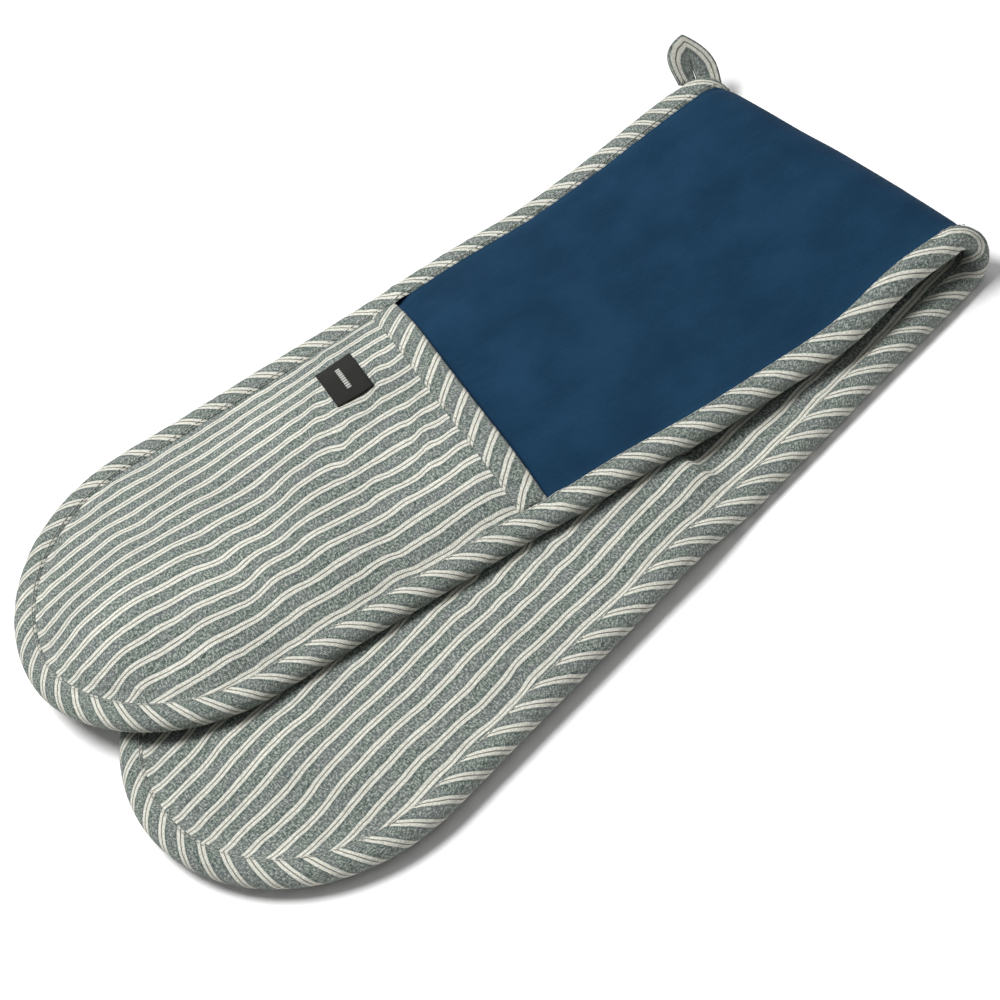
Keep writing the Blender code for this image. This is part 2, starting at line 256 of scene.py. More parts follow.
def rise(side, s, t, u):
    """The lower limb climbs onto its pocket; the upper one sinks from the fold, sooner by its near edge."""
    v = (t + u * SKEW_SIN) / SKEW_COS
    step = 0.95 * near_middle(v)
    lower = POCKET_LIFT * (step * smooth((u - 167.0) / 6.0) + (1 - step) * smooth((u - 168.0) / 44.0))
    past = np.abs(s) - ARC
    upper = -UPPER_SETTLE * smooth(past / (95.0 + 20.0 * np.clip(t / RADIUS, -1, 1)))
    upper = upper - UPPER_SAG * smooth(past / 70.0) * (1 - smooth((u - 125.0) / 60.0))
    upper = upper + TIP_RISE * smooth((u - 330.0) / 90.0)
    return np.where(side < 0, lower, upper)


def droop(side, s, t, u, v):
    """The upper limb sinks where nothing is under it, and the lower one's edges settle."""
    a = np.abs(s)
    under_u = a * SKEW_COS - t * SKEW_SIN
    under_v = a * SKEW_SIN + t * SKEW_COS
    outside = np.hypot(np.maximum(under_u - TIP_CENTRE, 0.0), under_v) - RADIUS
    d = stop_at_edge(u, v)
    upper = OVERHANG_DROOP * smooth(outside / OVERHANG_RUN)
    upper = upper + 0.8 * (1 - smooth((d + 2.0) / 40.0)) * smooth((-v - 20.0) / 40.0)
    on_pocket = smooth((np.abs(u) - MOUTH + LIFT_RUN) / 60.0)
    lower = EDGE_DROOP * on_pocket * (1 - smooth((d + 2.0) / 50.0))
    return np.where(side < 0, lower, upper)


def bow(side, u, v):
    """The upper limb's near edge swings out between the fold and its pocket."""
    grow = smooth((u - 24.0) / 42.0) * (1 - 0.55 * smooth((u - 195.0) / 50.0) - 0.45 * smooth((u - 245.0) / 90.0))
    return np.where(side > 0, EDGE_BOW * grow * smooth((10.0 - v) / 80.0), 0.0)


def fold(u, v, n):
    """Points in the row frame, in metres, of the strip's (u, v), n out from its back face."""
    s = u * SKEW_COS - v * SKEW_SIN
    t = u * SKEW_SIN + v * SKEW_COS
    r = NEUTRAL + n - STACK / 2
    a = np.clip(s, -ARC, ARC) / NEUTRAL
    side = np.sign(s)
    x = r * np.cos(a) - np.maximum(np.abs(s) - ARC, 0.0)
    lie = np.where(np.abs(s) > ARC, rise(side, s, t, np.abs(u)) - droop(side, s, t, u, v), 0.0)
    x = x + FOLD_TURN * (t + FOLD_SLIDE) * (1 - smooth((np.abs(s) - ARC) / 65.0))
    z = FOLD_CENTRE_Z + r * np.sin(a) + lie
    y = t - bow(side, np.abs(u), v)
    return np.stack(np.broadcast_arrays(x + ORIGIN_X, y, z), -1) * MM


def row_u(q, v):
    """u on a row that is parallel to the fold's axis near it, and square to the strip further on."""
    return q + v * SKEW_TAN * (1 - smooth((np.abs(q) - 20.0) / 65.0))


# ---- mesh building ----


def new_object(name, mesh, material):
    obj = bpy.data.objects.new(name, mesh)
    bpy.context.scene.collection.objects.link(obj)
    if material:
        mesh.materials.append(material)
    return obj


def mesh_object(name, points, faces, uv, material, normals=None, wear=None):
    """A smooth mesh; faces are rows of 4 indices, the last repeated for a triangle."""
    mesh = bpy.data.meshes.new(name)
    rows = [tuple(f[:3]) if f[2] == f[3] else tuple(f) for f in faces.tolist()]
    mesh.from_pydata(points.tolist(), [], rows)
    mesh.polygons.foreach_set("use_smooth", np.ones(len(rows), bool))
    corner = np.zeros(len(mesh.loops), np.int32)
    mesh.loops.foreach_get("vertex_index", corner)
    layer = mesh.uv_layers.new(name="cloth")
    laid = uv if uv.ndim == 3 else uv[corner]
    layer.data.foreach_set("uv", laid.astype(np.float32).ravel())
    if wear is not None:
        mark = mesh.attributes.new("wear", "FLOAT", "POINT")
        mark.data.foreach_set("value", wear.astype(np.float32))
    mesh.update()
    if normals is not None:
        mesh.normals_split_custom_set_from_vertices(normals.tolist())
    return new_object(name, mesh, material)


def vertex_normals(points, faces):
    a, b, c, d = (points[faces[:, k]] for k in range(4))
    cross = np.cross(c - a, np.where((faces[:, 2] == faces[:, 3])[:, None], c, d) - b)
    out = np.zeros_like(points)
    for k in range(4):
        np.add.at(out, faces[:, k], cross)
    return out / np.maximum(np.linalg.norm(out, axis=1, keepdims=True), 1e-12)


def strip_sheet(qs, rings, tips):
    """The strip's grid: its points' u and v, its faces, and each face's place along the strip."""
    across = np.array([RADIUS - d for d in rings] + [0.0] + [d - RADIUS for d in reversed(rings)])
    q, v = np.meshgrid(np.array(qs), across, indexing="ij")
    us, vs = [row_u(q, v).ravel()], [v.ravel()]
    m, rows = len(across), len(qs)
    r, c = np.meshgrid(np.arange(rows - 1), np.arange(m - 1), indexing="ij")
    a = (r * m + c).ravel()
    faces = [np.stack([a, a + 1, a + m + 1, a + m], 1)]
    places = [((np.array(qs)[:-1] + np.array(qs)[1:]) / 2).repeat(m - 1)]
    count, start = len(rings), rows * m
    for side in tips:
        last = (rows - 1) * m if side > 0 else 0
        steps = int(math.pi * RADIUS / 3.4)
        ring_rows = [last + np.arange(count)]
        angle = np.pi * np.arange(1, steps) / steps
        rho = RADIUS - np.array(rings)
        us.append((side * (TIP_CENTRE + np.sin(angle)[:, None] * rho[None, :])).ravel())
        vs.append((np.cos(angle)[:, None] * rho[None, :]).ravel())
        for k in range(steps - 1):
            ring_rows.append(start + k * count + np.arange(count))
        start += (steps - 1) * count
        ring_rows.append(last + m - 1 - np.arange(count))
        centre = last + count
        for one, two in zip(ring_rows, ring_rows[1:]):
            faces.append(np.stack([one[:-1], one[1:], two[1:], two[:-1]], 1))
            faces.append(np.array([[one[-1], centre, two[-1], two[-1]]]))
            places.append(np.full(count, side * TIP_CENTRE))
    u, v, faces = np.concatenate(us), np.concatenate(vs), np.concatenate(faces)
    e1 = np.stack([u[faces[:, 1]] - u[faces[:, 0]], v[faces[:, 1]] - v[faces[:, 0]]])
    e2 = np.stack([u[faces[:, 2]] - u[faces[:, 0]], v[faces[:, 2]] - v[faces[:, 0]]])
    turned = e1[0] * e2[1] - e1[1] * e2[0] < 0
    faces[turned] = np.where(
        (faces[turned, 2] == faces[turned, 3])[:, None],
        faces[turned][:, [1, 0, 2, 2]],
        faces[turned][:, [3, 2, 1, 0]],
    )
    return {"u": u, "v": v, "faces": faces, "place": np.concatenate(places)}


def shell(sheet, low, high, shift=None):
    """Both faces of one cloth of the sheet, with smooth normals right across the pieces' joins."""
    u, v, faces = sheet["u"], sheet["v"], sheet["faces"]
    lower, upper = fold(u, v, low(u, v)), fold(u, v, high(u, v))
    print_u, print_v = shift(u, v) if shift else (u, v)
    return {
        "sheet": sheet,
        "points": np.concatenate([lower, upper]),
        "normals": np.concatenate([vertex_normals(lower, faces), vertex_normals(upper, faces[:, ::-1])]),
        "uv": np.stack([print_u, print_v], 1) * MM,
        "edge": stop_at_edge(u, v),
    }


def cut_piece(name, skin, chosen, material):
    """The chosen faces of a shell as a closed piece of its own."""
    sheet = skin["sheet"]
    count = len(sheet["u"])
    faces = sheet["faces"][chosen]
    triangle = faces[:, 2] == faces[:, 3]
    ends = [faces[:, [0, 1]], faces[:, [1, 2]], faces[~triangle][:, [2, 3]],
            faces[~triangle][:, [3, 0]], faces[triangle][:, [2, 0]]]
    edges = np.concatenate(ends)
    key = edges.min(1) * count + edges.max(1)
    _, first, uses = np.unique(key, return_index=True, return_counts=True)
    rim = edges[first[uses == 1]]
    walls = np.stack([rim[:, 0], rim[:, 1], rim[:, 1] + count, rim[:, 0] + count], 1)
    top = faces[:, ::-1] + count
    tri_top = np.stack([faces[:, 2], faces[:, 1], faces[:, 0], faces[:, 0]], 1) + count
    top = np.where(triangle[:, None], tri_top, top)
    every = np.concatenate([faces, top, walls[:, ::-1]])
    used, every = np.unique(every, return_inverse=True)
    every = every.reshape(-1, 4)
    flat_points = used % count
    wear = np.clip(1 - np.abs(skin["edge"][flat_points] - 14.0) / 5.0, 0, 1) * 0.5
    return mesh_object(name, skin["points"][used], every, skin["uv"][flat_points], material,
                       skin["normals"][used], wear)


def stepped(*runs):
    """Numbers through the given (start, end, step) runs, each end included once."""
    out = [runs[0][0]]
    for start, end, step in runs:
        n = max(1, round((end - start) / step))
        out += [start + (end - start) * k / n for k in range(1, n + 1)]
    return out


def both_ways(values):
    """The same numbers on both sides of the first one, which is 0."""
    return [-x for x in reversed(values)] + values[1:]


FINE_RINGS = stepped((0.3, 10.0, 3.3), (10.0, 17.0, 1.2), (17.0, 29.0, 2.4), (29.0, 86.5, 3.4))
COARSE_RINGS = stepped((0.3, 10.0, 5.0), (10.0, 18.0, 2.7), (18.0, 84.0, 6.0))
BEND = [(0.0, SEAM_Q, 1.2), (SEAM_Q, 20.0, 1.2), (20.0, 60.0, 2.4)]
FINE_ROWS = both_ways(stepped(*BEND, (60.0, TIP_CENTRE, 3.1)))
COARSE_ROWS = both_ways(stepped(*BEND[:2], (20.0, TIP_CENTRE, 6.0)))
PARTS = {
    "lower": lambda place: place < -SEAM_Q,
    "fold_low": lambda place: (place > -SEAM_Q) & (place < 0),
    "fold_high": lambda place: (place > 0) & (place < SEAM_Q),
    "upper": lambda place: place > SEAM_Q,
}
STANDS_FOR = {
    "lower": ("lower",),
    "fold_low": ("fold_slice_1",),
    "fold_high": ("fold_slice_2", "fold_slice_3"),
    "upper": ("upper",),
}


def bend_with(obj):
    """Bakes a piece's placement into its mesh."""
    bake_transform(obj)


# ---- materials ----


class Shade:
    """One procedural material. Values are numbers or sockets; the pattern is laid by the mesh's UVs."""

    def __init__(self, name, roughness, sheen=0.0, tint=(1, 1, 1), specular=0.3):
        self.material = bpy.data.materials.new(name)
        self.material.use_nodes = True
        self.tree = self.material.node_tree
        self.shader = next(n for n in self.tree.nodes if n.type == "BSDF_PRINCIPLED")
        inputs = self.shader.inputs
        inputs["Roughness"].default_value = roughness
        inputs["Sheen Weight"].default_value = sheen
        inputs["Sheen Roughness"].default_value = 0.5
        inputs["Sheen Tint"].default_value = (*tint, 1.0)
        inputs["Specular IOR Level"].default_value = specular

    def node(self, kind, **settings):
        made = self.tree.nodes.new(kind)
        for key, value in settings.items():
            setattr(made, key, value)
        return made

    def put(self, value, socket):
        if isinstance(value, bpy.types.NodeSocket):
            self.tree.links.new(value, socket)
        elif hasattr(value, "__len__") and len(value) == 3 and socket.type == "RGBA":
            socket.default_value = (*value, 1.0)
        else:
            socket.default_value = value

    def math(self, operation, a, b=0.0, c=0.0):
        made = self.node("ShaderNodeMath", operation=operation)
        for value, socket in zip((a, b, c), made.inputs):
            self.put(value, socket)
        return made.outputs[0]

    def span(self, value, low, high, out_low=0.0, out_high=1.0, soft=True):
        made = self.node("ShaderNodeMapRange")
        made.interpolation_type = "SMOOTHSTEP" if soft else "LINEAR"
        for v, k in ((value, 0), (low, 1), (high, 2), (out_low, 3), (out_high, 4)):
            self.put(v, made.inputs[k])
        return made.outputs[0]

    def mix(self, share, a, b, blend="MIX"):
        made = self.node("ShaderNodeMix", data_type="RGBA", blend_type=blend)
        self.put(share, made.inputs[0])
        self.put(a, made.inputs[6])
        self.put(b, made.inputs[7])
        return made.outputs[2]

    def cloth(self):
        """Millimetres along and across the cloth."""
        made = self.node("ShaderNodeSeparateXYZ")
        self.tree.links.new(self.node("ShaderNodeUVMap", uv_map="cloth").outputs[0], made.inputs[0])
        return [self.math("MULTIPLY", made.outputs[k], 1000.0) for k in (0, 1)]

    def noise(self, x, y, scale_x, scale_y, z, detail=2.0):
        """Noise with scale_x and scale_y waves to the millimetre; z picks another pattern."""
        place = self.node("ShaderNodeCombineXYZ")
        scaled = self.math("MULTIPLY", x, scale_x), self.math("MULTIPLY", y, scale_y), z
        for value, socket in zip(scaled, place.inputs):
            self.put(value, socket)
        made = self.node("ShaderNodeTexNoise")
        made.inputs["Scale"].default_value = 1.0
        made.inputs["Detail"].default_value = detail
        self.tree.links.new(place.outputs[0], made.inputs["Vector"])
        return made.outputs[0]

    def wear(self):
        return self.node("ShaderNodeAttribute", attribute_name="wear").outputs["Fac"]

    def weave(self, x, y, pitch):
        """Height of a plain weave: yarns cross over and under each other."""
        a = self.math("SINE", self.math("MULTIPLY", x, math.pi / pitch))
        b = self.math("SINE", self.math("MULTIPLY", y, math.pi / pitch))
        return self.math("MULTIPLY_ADD", self.math("MULTIPLY", a, b), 0.5, 0.5)

    def finish(self, colour, height, distance, strength, roughness=None):
        self.put(colour, self.shader.inputs["Base Color"])
        bump = self.node("ShaderNodeBump")
        bump.inputs["Distance"].default_value = distance * MM
        bump.inputs["Strength"].default_value = strength
        self.put(height, bump.inputs["Height"])
        self.tree.links.new(bump.outputs[0], self.shader.inputs["Normal"])
        if roughness is not None:
            self.put(roughness, self.shader.inputs["Roughness"])
        return self.material


CREAM = (0.715, 0.712, 0.632)
SLATE = (0.163, 0.197, 0.173)
SLATE_DARK = (0.05, 0.072, 0.066)
SLATE_GREY = (0.135, 0.145, 0.152)
FLECK = (0.47, 0.50, 0.45)
GAP_LINE = (0.12, 0.105, 0.085)


def striped(name, offset, lighten):
    """Slate chambray with pairs of cream lines along the warp."""
    made = Shade(name, 0.95, sheen=0.02, specular=0.12)
    x, y = made.cloth()
    wander = made.noise(x, y, 0.2, 0.4, 3.0)
    y_print = made.math("ADD", y, made.math("MULTIPLY_ADD", wander, 0.7, offset - 0.35))
    turn = made.math("FRACT", made.math("DIVIDE", y_print, STRIPE))
    off = made.math("MULTIPLY", made.math("ABSOLUTE", made.math("SUBTRACT", turn, 0.5)), STRIPE)
    line = made.math("ABSOLUTE", made.math("SUBTRACT", off, 1.02))
    weft = made.noise(x, y, 1.7, 0.5, 1.0, 1.0)
    warp = made.noise(x, y, 0.35, 1.5, 7.0, 2.0)
    grain = made.noise(x, y, 0.95, 0.95, 5.0, 3.0)
    ragged = made.math("MULTIPLY_ADD", made.math("SUBTRACT", grain, 0.5), 0.6, line)
    cream = made.span(ragged, 0.58, 0.92, 1.0, 0.0)
    between = made.span(off, 0.1, 0.42, 1.0, 0.0)
    beside = made.span(made.math("ABSOLUTE", made.math("SUBTRACT", off, 2.4)), 0.1, 0.8, 1.0, 0.0)
    fleck = made.span(made.math("MULTIPLY_ADD", weft, 0.45, made.math("MULTIPLY", grain, 0.55)), 0.47, 0.6)
    drift = made.noise(x, y, 0.05, 0.16, 8.0, 2.0)
    band = made.mix(made.span(warp, 0.38, 0.6), SLATE_DARK, SLATE)
    band = made.mix(made.math("MULTIPLY", made.span(drift, 0.42, 0.62), 0.6), band, SLATE_GREY)
    band = made.mix(made.math("MULTIPLY", fleck, 0.66), band, FLECK)
    band = made.mix(made.math("MULTIPLY", beside, 0.35), band, SLATE_DARK)
    band = made.mix(made.math("MULTIPLY", between, 0.8), band, GAP_LINE)
    pale = made.mix(made.span(grain, 0.36, 0.64), tuple(0.72 * c for c in CREAM), CREAM)
    colour = made.mix(cream, band, pale)
    patch = made.noise(x, y, 0.022, 0.03, 9.0, 3.0)
    colour = made.mix(1.0, colour, made.mix(patch, (0.8, 0.8, 0.81), (1.16, 1.16, 1.15)), "MULTIPLY")
    worn = made.math("MULTIPLY", made.wear(), made.math("MULTIPLY", grain, lighten))
    colour = made.mix(worn, colour, (0.5, 0.51, 0.47))
    height = made.math("MULTIPLY_ADD", grain, 0.9, made.weave(x, y, 0.55))
    height = made.math("MULTIPLY_ADD", cream, 0.35, height)
    return made.finish(colour, height, 0.24, 0.8, made.span(grain, 0.3, 0.7, 0.9, 1.0))


def navy():
    """Brushed navy cotton with a faint weave and soft mottling."""
    made = Shade("navy_cotton", 0.95, sheen=0.03, tint=(0.45, 0.62, 0.85), specular=0.12)
    x, y = made.cloth()
    fine = made.noise(x, y, 1.1, 1.1, 2.0, 3.0)
    streak = made.noise(x, y, 0.12, 0.9, 4.0, 2.0)
    patch = made.noise(x, y, 0.03, 0.035, 6.0, 4.0)
    blend = made.math("ADD", made.math("MULTIPLY", patch, 0.6), made.math("MULTIPLY", fine, 0.4))
    colour = made.mix(made.span(blend, 0.36, 0.64), (0.0042, 0.0255, 0.058), (0.0088, 0.0385, 0.082))
    colour = made.mix(made.math("MULTIPLY", made.span(streak, 0.5, 0.75), 0.25), colour,
                      (0.014, 0.049, 0.095))
    colour = made.mix(made.math("MULTIPLY", made.wear(), 0.3), colour, (0.02, 0.057, 0.105))
    height = made.math("ADD", made.weave(x, y, 0.45), made.math("MULTIPLY", fine, 1.2))
    return made.finish(colour, height, 0.2, 0.8, made.span(fine, 0.3, 0.7, 0.88, 1.0))


def plain_cloth(name, light, dark, pitch, distance):
    """Undyed woven or felted material."""
    made = Shade(name, 0.95, sheen=0.15)
    x, y = made.cloth()
    fine = made.noise(x, y, 1.4, 1.4, 1.0, 4.0)
    colour = made.mix(made.span(fine, 0.35, 0.65), dark, light)
    height = made.math("ADD", made.weave(x, y, pitch), fine)
    return made.finish(colour, height, distance, 0.6, made.span(fine, 0.3, 0.7, 0.9, 1.0))


def label_cloth():
    """Charcoal woven ribbon with a plain pale woven bar instead of any words."""
    made = Shade("label_ribbon", 0.75, specular=0.2)
    x, y = made.cloth()
    rib = made.math("SINE", made.math("MULTIPLY", y, 2 * math.pi / 0.62))
    fine = made.noise(x, y, 2.2, 2.2, 1.0, 2.0)
    colour = made.mix(made.span(fine, 0.35, 0.65), (0.007, 0.0072, 0.0064), (0.019, 0.0195, 0.017))
    within_x = made.span(made.math("ABSOLUTE", x), 0.95, 1.3, 1.0, 0.0)
    within_y = made.span(made.math("ABSOLUTE", y), 8.4, 8.8, 1.0, 0.0)
    dash = made.span(made.math("PINGPONG", made.math("ADD", y, 20.0), 0.9), 0.18, 0.34)
    bar = made.math("MULTIPLY", made.math("MULTIPLY", within_x, within_y), dash)
    colour = made.mix(made.math("MULTIPLY", bar, 0.75), colour, (0.55, 0.55, 0.52))
    height = made.math("ADD", made.math("MULTIPLY_ADD", rib, 0.5, 0.5), made.math("MULTIPLY", bar, 1.2))
    return made.finish(colour, height, 0.12, 0.6, made.span(fine, 0.3, 0.7, 0.66, 0.86))


def thread(name, light, dark):
    """Twisted sewing thread, with painted shade in the grooves between its plies."""
    made = Shade(name, 0.6, sheen=0.1, specular=0.4)
    x, y = made.cloth()
    ply = made.math("SINE", made.math("MULTIPLY", made.math("ADD", x, made.math("MULTIPLY", y, 1.4)), 9.0))
    twist = made.math("MULTIPLY_ADD", ply, 0.5, 0.5)
    tone = made.noise(x, y, 0.3, 1.0, 2.0)
    # Painted shade: the thread is darkest where the ply bump is lowest, in the grooves between the plies.
    colour = made.mix(made.math("MULTIPLY", twist, made.math("ADD", tone, 0.3)), dark, light)
    return made.finish(colour, twist, 0.08, 0.6, made.span(tone, 0.3, 0.7, 0.5, 0.7))


STRIPED = striped("striped_chambray", 1.0, 0.25)
BIAS = striped("striped_bias", 0.0, 0.3)
NAVY = navy()
FELT = plain_cloth("wadding_felt", (0.78, 0.76, 0.70), (0.6, 0.58, 0.53), 2.2, 0.5)
LINING = plain_cloth("lining_cotton", (0.60, 0.60, 0.56), (0.44, 0.44, 0.41), 0.5, 0.15)
THREAD = thread("seam_thread", (0.52, 0.52, 0.46), (0.2, 0.2, 0.18))
LABEL = label_cloth()

# ---- the cloths of the padded strip ----


def print_shift(seed, amount):
    """The weave wanders a little where the cloth was pulled in sewing."""

    def shift(u, v):
        wander = noise((u + 0.3 * v) / 24.0, v / 52.0, seed) + 0.5 * noise((u - 0.2 * v) / 12.5, v / 34.0, seed + 1)
        along = noise(u / 50.0, v / 40.0, seed + 2)
        beside = np.exp(-(((np.abs(u) - MOUTH - 45.0) / 30.0) ** 2)) * smooth((v + 70.0) / 60.0)
        wander = wander + 1.1 * beside * noise((u + 0.4 * v) / 7.0, v / 30.0, seed + 5)
        return u + amount * along, v + amount * wander

    return shift


def strip_layer(label, material, rows, rings, low, high, shift, held):
    """One layer of the strip, in four pieces along it."""
    sheet = strip_sheet(rows, rings, (-1, 1))
    skin = shell(sheet, low, high, shift)
    for part, where in PARTS.items():
        chosen = where(sheet["place"])
        obj = cut_piece(part + "_" + label, skin, chosen, material)
        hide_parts(*[node + "_" + label for node in STANDS_FOR[part]])
        bend_with(obj)
    if held is None:
        return
    for end, middle in (("lower", "fold_low"), ("upper", "fold_high")):
        PARTS[end](sheet["place"])


strip_layer("back_cloth", STRIPED, FINE_ROWS, FINE_RINGS,
            back_of, lambda u, v: back_of(u, v) + CLOTH, print_shift(61, 1.5), "folded")
strip_layer("wadding", FELT, COARSE_ROWS, COARSE_RINGS,
            lambda u, v: back_of(u, v) + CLOTH + GAP,
            lambda u, v: front_of(u, v) - CLOTH - GAP, None, None)
strip_layer("front_panel", NAVY, FINE_ROWS, FINE_RINGS,
            lambda u, v: front_of(u, v) - CLOTH, front_of, print_shift(71, 0.6), "folded")

# ---- the hand pockets ----

POCKET_ROWS = stepped((MOUTH + GAP, TIP_CENTRE, 3.0))
POCKET_COARSE = stepped((MOUTH + GAP, TIP_CENTRE, 6.0))


def pocket_layer(limb, side, label, material, fine, low, high, shift):
    rows = POCKET_ROWS if fine else POCKET_COARSE
    rings = FINE_RINGS if fine else COARSE_RINGS
    if side < 0:
        rows = [-q for q in reversed(rows)]
    sheet = strip_sheet(rows, rings, (side,))
    skin = shell(sheet, low, high, shift)
    chosen = np.ones(len(sheet["faces"]), bool)
    obj = cut_piece(limb + "_" + label, skin, chosen, material)
    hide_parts(limb + "_" + label)
    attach(obj, limb + "_half")
    return obj


for limb, side in (("lower", -1), ("upper", 1)):
    pocket_layer(limb, side, "pocket_lining", LINING, True, lining_of,
                 lambda u, v: lining_of(u, v) + POCKET_CLOTH, None)
    pocket_layer(limb, side, "pocket_wadding", FELT, False,
                 lambda u, v: lining_of(u, v) + POCKET_CLOTH + GAP,
                 lambda u, v: pocket_of(u, v) - POCKET_CLOTH - GAP, None)
    pocket_layer(limb, side, "pocket_cloth", STRIPED, True,
                 lambda u, v: pocket_of(u, v) - POCKET_CLOTH, pocket_of,
                 print_shift(81 + side, 1.8))

# ---- the edge binding: a bias tape folded over the whole rim ----

# Distance in from the edge, and height of the tape's outer and inner face off the cloth.
OUTER = [(12.6, 0.12), (12.2, 0.55), (11.3, 1.0), (9.6, 1.45), (7.2, 1.75), (4.6, 1.75),
         (2.4, 1.4), (0.5, 0.55), (-0.8, -0.55), (-1.5, -1.8), (-1.75, -3.25)]
INNER = [(12.5, 0.0), (11.6, 0.08), (10.4, 0.14), (8.8, 0.2), (6.9, 0.2), (4.6, 0.2),
         (2.8, 0.15), (1.4, -0.3), (0.6, -1.2), (0.25, -2.2), (0.15, -3.25)]
BACK_SHARE = 0.85


def rim_rows():
    """Places along the rim as (q, angle round a tip, edge), in order, and the length p at each."""
    rows = []
    straight = both_ways(stepped(*BEND[:2], (20.0, TIP_CENTRE, 2.3)))
    for q in straight:
        rows.append((q, None, -1, q))
    turns = 130
    for k in range(1, turns):
        a = math.pi * k / turns
        rows.append((1.0, a, 0, TIP_CENTRE + RADIUS * a))
    for q in reversed(straight):
        rows.append((q, None, 1, 2 * TIP_CENTRE + math.pi * RADIUS - q))
    for k in range(1, turns):
        a = math.pi * k / turns
        rows.append((-1.0, a, 0, 3 * TIP_CENTRE + math.pi * RADIUS + RADIUS * a))
    return rows


def leg(p):
    """How wide the tape's legs are sewn along the rim: it varies round the tips and narrows at the fold."""
    turn = 2 * np.pi * p / PERIMETER
    fold_near = np.exp(-((np.minimum(p % PERIMETER, PERIMETER - p % PERIMETER) / 45.0) ** 2))
    fold_far = np.exp(-(((p % PERIMETER - PERIMETER / 2) / 30.0) ** 2))
    width = 0.88 - 0.045 * np.cos(turn) + 0.08 * np.cos(2 * turn) + 0.02 * noise(p / 70.0, 0.5, 98)
    return width - 0.15 * fold_near - 0.12 * fold_far


def rim_point(row, d):
    """u and v at distance d in from the rim on that row."""
    q, angle, edge, p = row
    rho = RADIUS - (d * float(leg(p)) if d > 0 else d)
    if angle is None:
        v = edge * rho
        return float(row_u(q, v)), v
    if q > 0:
        return TIP_CENTRE + rho * math.sin(angle), -rho * math.cos(angle)
    return -TIP_CENTRE - rho * math.sin(angle), rho * math.cos(angle)


def tape_section():
    """Across the tape from its front leg round the edge to its back leg: d, face, lift."""
    front = [(d, 1, lift) for d, lift in OUTER]
    back = [(d, -1, lift) for d, lift in reversed(OUTER[:-1])]
    inside = [(d, 1, lift) for d, lift in INNER]
    inside += [(d, -1, lift) for d, lift in reversed(INNER[:-1])]
    return front + back, inside


def rim_height(u, v, d, face, lift):
    """Height of the tape at d in from the rim, lift off the front or, a little flatter, off the back."""
    if face > 0:
        return outer_still(u, v) + lift
    inside = np.maximum(d, 0.0)
    return EDGE_PINCH * (1 - loft(inside)) + seam_dip(inside) - lift * BACK_SHARE + 0.0 * u


def rim_skin():
    rows = rim_rows()
    outside, inside = tape_section()
    across = []
    at = 0.0
    for k, (d, face, lift) in enumerate(outside):
        if k:
            before = outside[k - 1]
            at += math.hypot(d - before[0], (lift - before[2]))
        across.append(at)
    p = np.array([row[3] for row in rows])
    columns = []
    for ring, outer in ((outside, True), (inside, False)):
        for k, (d, face, lift) in enumerate(ring):
            uv = np.array([rim_point(row, d) for row in rows])
            u, v = uv[:, 0], uv[:, 1]
            q = across[k]
            n = rim_height(u, v, d, face, lift)
            if outer:
                inner_leg = smooth((12.6 - abs(d)) / 3.0)
                n = n + face * inner_leg * (0.2 * noise(p / 6.0 + q / 9.0, q / 7.0, 91)
                                            + 0.12 * noise(p / 2.9 - q / 5.0, q / 4.0, 92))
            columns.append((fold(u, v, n), p, np.full(len(p), q)))
    points = np.stack([c[0] for c in columns], 1)
    length = np.stack([c[1] for c in columns], 1)
    width = np.stack([c[2] for c in columns], 1)
    return rows, points, length, width


